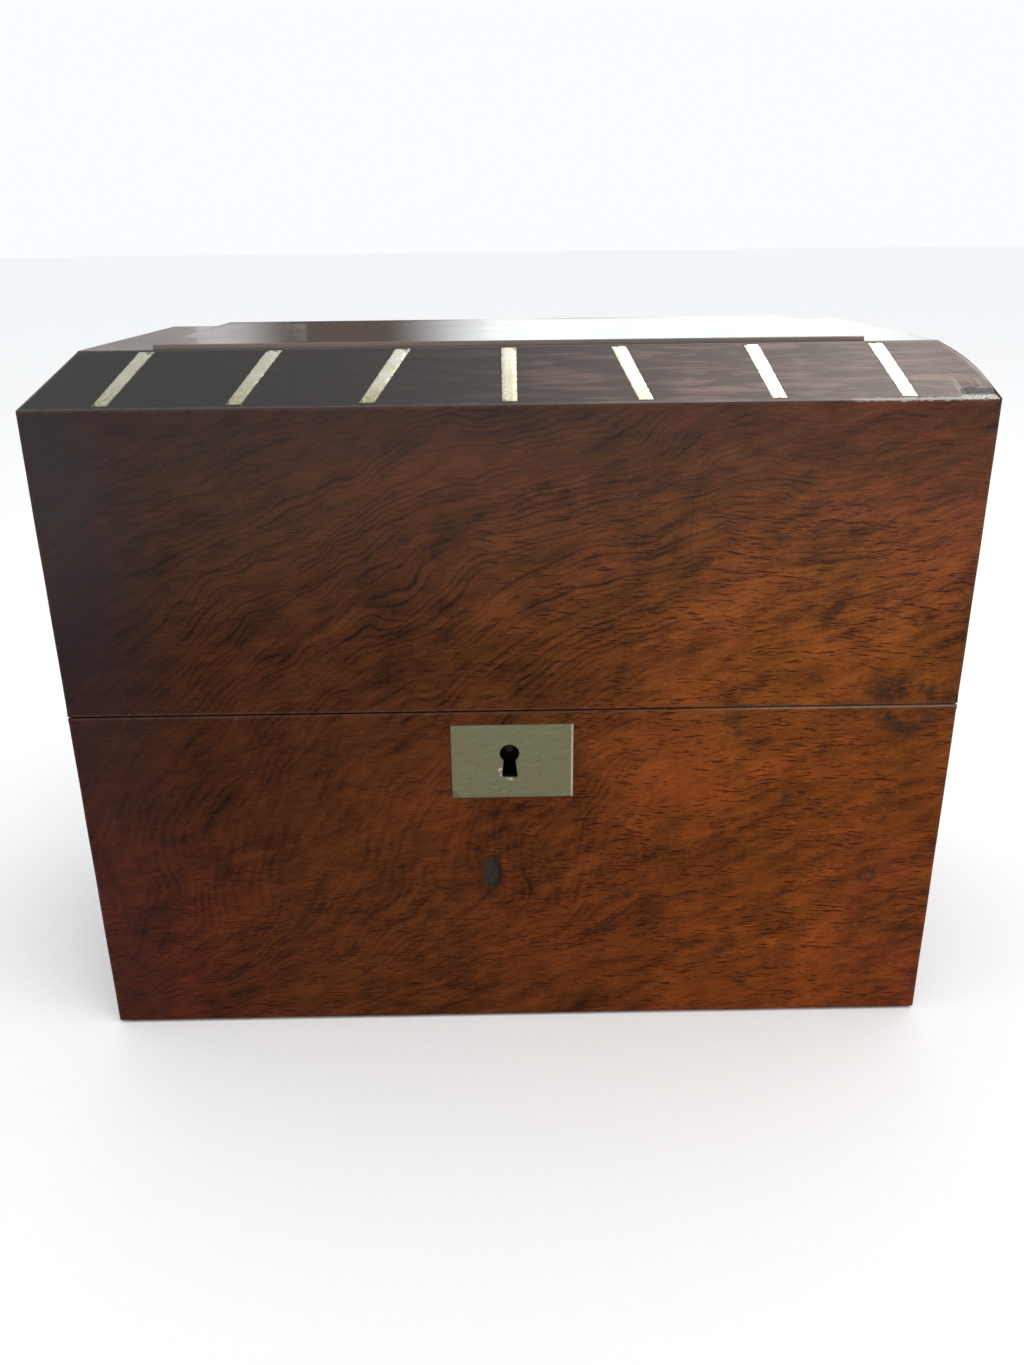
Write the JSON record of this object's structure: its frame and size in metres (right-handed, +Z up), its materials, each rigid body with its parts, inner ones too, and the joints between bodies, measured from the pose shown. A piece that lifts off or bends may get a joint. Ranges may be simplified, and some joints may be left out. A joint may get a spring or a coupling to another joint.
{
  "type": "tea caddy",
  "caption": "Rectangular veneered tea caddy with a deep hinged lid, chamfered top, brass inlay and lock, and loose inner lids over foil-lined wells.",
  "frame": {"origin": "centre of the carcase's underside, where the box rests", "axes": "+Z up, front with the keyhole at -Y, +X to the right seen from the front; the lid hinges at +Y"},
  "size_m": [0.228, 0.1126, 0.1851],
  "materials": {
    "rosewood_veneer": "old french polish over figured rosewood",
    "rosewood_lining": "satin polish",
    "carcase_mahogany": "bare, planed",
    "turned_ebony": "polished",
    "aged_brass": "brushed and dulled with age",
    "lock_brass": "dull, handled",
    "steel": "dull",
    "lead_foil": "dull crinkled tea lead",
    "green_baize": "worn wool baize",
    "blue_cloth": "faded cloth on card"
  },
  "bodies": {
    "base": {"base_front_board": "carcase_mahogany", "base_back_board": "carcase_mahogany", "base_left_board": "carcase_mahogany", "base_right_board": "carcase_mahogany", "base_bottom_board": "carcase_mahogany", "base_front_veneer": "rosewood_veneer", "base_back_veneer": "rosewood_veneer", "base_left_veneer": "rosewood_veneer", "base_right_veneer": "rosewood_veneer", "underside_baize": "green_baize", "escutcheon": "aged_brass", "lining_front": "rosewood_lining", "lining_back": "rosewood_lining", "lining_left": "rosewood_lining", "lining_right": "rosewood_lining", "partition": "rosewood_lining", "ledge_strips": "carcase_mahogany", "foil_left": "lead_foil", "foil_right": "lead_foil", "lock_plate": "lock_brass", "lock_case": "lock_brass", "lock_posts": "steel", "lock_screws": "lock_brass", "hinge_leaves_base": "lock_brass", "hinge_pins": "steel", "hinge_screws_base": "lock_brass"},
    "lid": {"lid_front_board": "carcase_mahogany", "lid_back_board": "carcase_mahogany", "lid_left_board": "carcase_mahogany", "lid_right_board": "carcase_mahogany", "lid_top_board": "carcase_mahogany", "lid_front_veneer": "rosewood_veneer", "lid_back_veneer": "rosewood_veneer", "lid_left_veneer": "rosewood_veneer", "lid_right_veneer": "rosewood_veneer", "chamfer_front_veneer": "rosewood_veneer", "chamfer_back_veneer": "rosewood_veneer", "chamfer_left_veneer": "rosewood_veneer", "chamfer_right_veneer": "rosewood_veneer", "top_end_bands": "rosewood_veneer", "top_panel": "rosewood_veneer", "inlay_strip_1": "aged_brass", "inlay_strip_2": "aged_brass", "inlay_strip_3": "aged_brass", "inlay_strip_4": "aged_brass", "inlay_strip_5": "aged_brass", "inlay_strip_6": "aged_brass", "inlay_strip_7": "aged_brass", "link_plate": "lock_brass", "link_screws": "lock_brass", "hinge_leaves_lid": "lock_brass", "hinge_screws_lid": "lock_brass", "lid_ceiling_card": "blue_cloth"},
    "bolt": {"lock_bolt": "lock_brass"},
    "tumbler": {"lock_lever": "lock_brass", "lock_spring": "steel"},
    "inner_lid_left": {"tea_lid_left": "rosewood_veneer", "tea_knob_left": "turned_ebony"},
    "inner_lid_right": {"tea_lid_right": "rosewood_veneer", "tea_knob_right": "turned_ebony"}
  },
  "joints": [
    {"name": "lid_hinge", "type": "hinge", "parent": "base", "child": "lid", "pos_m": [0, 0.0564, 0.09515], "axis": [-1, 0, 0], "range_deg": [0, 100]},
    {"name": "bolt_slide", "type": "slide", "parent": "base", "child": "bolt", "axis": [1, 0, 0], "range_m": [0, 0.0045]},
    {"name": "tumbler_pivot", "type": "hinge", "parent": "base", "child": "tumbler", "pos_m": [-0.0147, -0.04775, 0.0785], "axis": [0, -1, 0], "range_deg": [0, 6], "stiffness_Nm_per_rad": 0.005, "springref_deg": -5.73},
    {"name": "inner_lid_left_lift", "type": "slide", "parent": "base", "child": "inner_lid_left", "axis": [0, 0, 1], "range_m": [0, 0.06]},
    {"name": "inner_lid_right_lift", "type": "slide", "parent": "base", "child": "inner_lid_right", "axis": [0, 0, 1], "range_m": [0, 0.06]}
  ]
}
